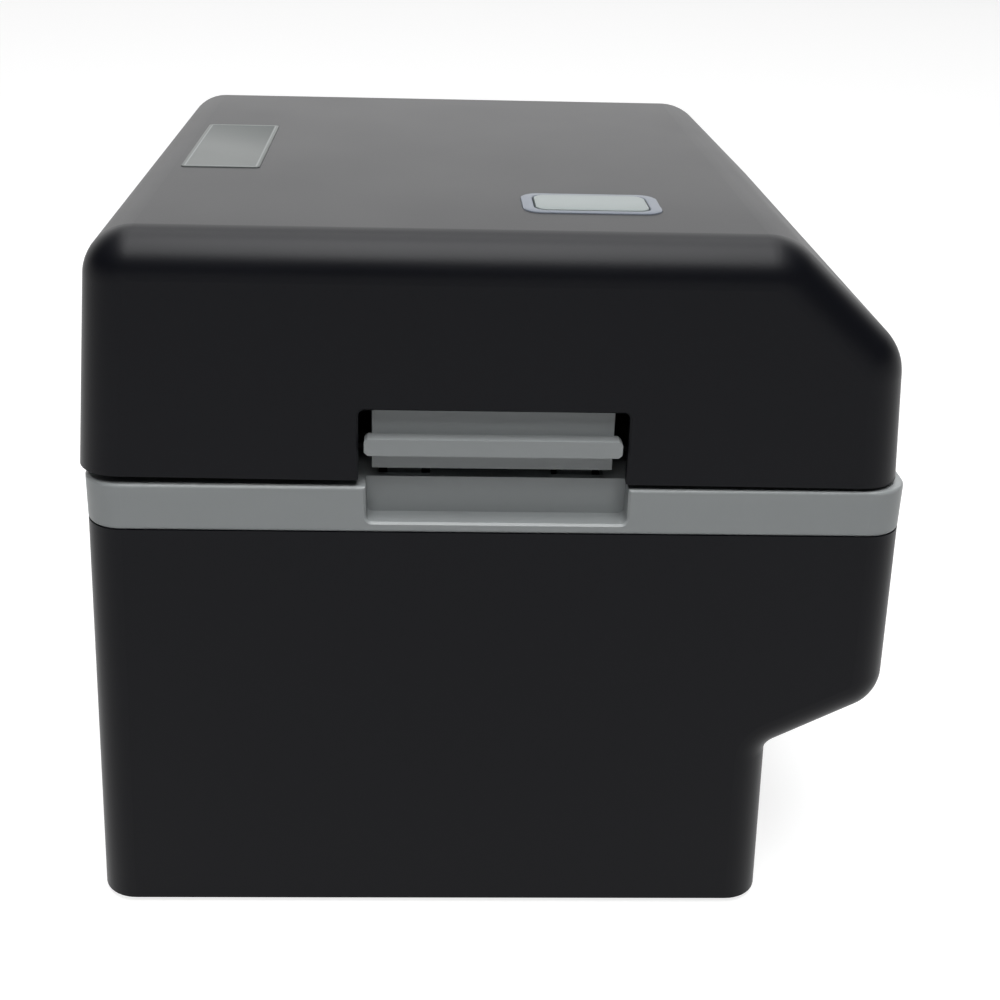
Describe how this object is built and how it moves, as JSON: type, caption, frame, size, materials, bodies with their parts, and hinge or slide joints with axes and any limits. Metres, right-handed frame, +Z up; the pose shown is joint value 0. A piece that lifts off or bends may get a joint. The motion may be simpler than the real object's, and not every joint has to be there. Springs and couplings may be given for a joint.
{
  "type": "shipping label printer",
  "caption": "Boxy desktop label printer with a hinged black lid, a sloped lid front, a grey seam band, side release levers and a feed button on top.",
  "frame": {"origin": "middle of the outline on the table plane under the rubber feet", "axes": "+X the printer's right as its user sees it, -Y its front with the label mouth, +Z up; the longest side runs along Y and the shortest along Z"},
  "size_m": [0.18, 0.1944, 0.174],
  "materials": {
    "aluminium": "extruded",
    "black_plastic": "fine matt texture",
    "board_green": "solder mask",
    "brass": "machined",
    "ceramic": "glazed",
    "dark_plastic": "satin",
    "grey_plastic": "satin",
    "milky_plastic": "translucent",
    "motor_steel": "black and bright",
    "plate_silver": "clear over silver",
    "rubber": "matt",
    "spring_steel": "drawn wire",
    "steel": "zinc plated",
    "white_plastic": "satin"
  },
  "bodies": {
    "base": {"base_shell": "black_plastic", "rubber_feet": "rubber", "mid_frame": "grey_plastic", "hinge_pins": "steel", "case_screws": "steel", "roll_tray": "dark_plastic", "guide_rails": "dark_plastic", "platen_bushes": "white_plastic", "gear_plate": "steel", "plate_screws": "steel", "stepper_motor": "motor_steel", "motor_screws": "steel", "tear_bar": "steel", "label_sensor": "board_green", "cover_switch": "dark_plastic", "main_board": "board_green", "board_chips": "dark_plastic", "board_screws": "steel", "usb_port": "steel", "dc_jack": "dark_plastic", "switch_housing": "dark_plastic"},
    "lid": {"lid_shell": "black_plastic", "name_plate": "plate_silver", "button_frame": "milky_plastic", "button_board": "board_green", "push_switch": "dark_plastic", "button_screws": "steel", "lever_pins": "steel", "lever_springs": "spring_steel", "head_springs": "spring_steel", "lid_bridge": "steel", "bridge_screws": "steel"},
    "lever_left": {"release_lever_left": "grey_plastic"},
    "lever_right": {"release_lever_right": "grey_plastic"},
    "head": {"print_head": "ceramic", "heat_sink": "aluminium", "head_carrier": "steel"},
    "button": {"feed_button": "milky_plastic"},
    "platen": {"platen_rubber": "rubber", "platen_shaft": "steel", "platen_gear": "white_plastic"},
    "idler": {"idler_gear": "white_plastic"},
    "motor_rotor": {"motor_shaft": "steel", "motor_pinion": "brass"},
    "guide_left": {"guide_left": "grey_plastic"},
    "guide_right": {"guide_right": "grey_plastic"},
    "guide_pinion": {"guide_pinion": "white_plastic"},
    "rocker": {"power_rocker": "dark_plastic"}
  },
  "joints": [
    {"name": "lid_hinge", "type": "hinge", "parent": "base", "child": "lid", "pos_m": [0, 0.09325, 0.1185], "axis": [-1, 0, 0], "range_deg": [0, 85]},
    {"name": "lever_left_pivot", "type": "hinge", "parent": "lid", "child": "lever_left", "pos_m": [-0.0842, 0, 0.146], "axis": [0, 1, 0], "range_deg": [0, 7], "stiffness_Nm_per_rad": 0.4, "springref_deg": -5.73},
    {"name": "lever_right_pivot", "type": "hinge", "parent": "lid", "child": "lever_right", "pos_m": [0.0842, 0, 0.146], "axis": [0, -1, 0], "range_deg": [0, 7], "stiffness_Nm_per_rad": 0.4, "springref_deg": -5.73},
    {"name": "head_float", "type": "slide", "parent": "lid", "child": "head", "axis": [0, 0, 1], "range_m": [0, 0.0012], "stiffness_N_per_m": 2000, "springref_m": -0.003, "deforming": ["head_springs"]},
    {"name": "feed_button_press", "type": "slide", "parent": "lid", "child": "button", "axis": [0, 0, -1], "range_m": [0, 0.0008], "stiffness_N_per_m": 400, "springref_m": -0.001},
    {"name": "platen_spin", "type": "hinge", "parent": "base", "child": "platen", "pos_m": [0, -0.08075, 0.1105], "axis": [1, 0, 0], "continuous": true},
    {"name": "idler_spin", "type": "hinge", "parent": "base", "child": "idler", "pos_m": [-0.068, -0.06897, 0.09689], "axis": [1, 0, 0], "continuous": true},
    {"name": "motor_spin", "type": "hinge", "parent": "base", "child": "motor_rotor", "pos_m": [-0.068, -0.07075, 0.082], "axis": [1, 0, 0], "continuous": true},
    {"name": "guide_left_slide", "type": "slide", "parent": "base", "child": "guide_left", "axis": [1, 0, 0], "range_m": [0, 0.04]},
    {"name": "guide_right_slide", "type": "slide", "parent": "base", "child": "guide_right", "axis": [-1, 0, 0], "range_m": [0, 0.04]},
    {"name": "guide_pinion_spin", "type": "hinge", "parent": "base", "child": "guide_pinion", "pos_m": [0, 0.01725, 0.028], "axis": [0, 0, -1], "range_deg": [0, 319]},
    {"name": "power_rocker_tilt", "type": "hinge", "parent": "base", "child": "rocker", "pos_m": [-0.04, 0.09375, 0.0235], "axis": [1, 0, 0], "range_deg": [0, 14]}
  ],
  "couplings": [
    {"joint": "idler_spin", "follows": "platen_spin", "ratio": -0.76471},
    {"joint": "motor_spin", "follows": "platen_spin", "ratio": 1.625},
    {"joint": "guide_right_slide", "follows": "guide_left_slide", "ratio": 1},
    {"joint": "guide_pinion_spin", "follows": "guide_left_slide", "rad_per_m": 138.89}
  ]
}
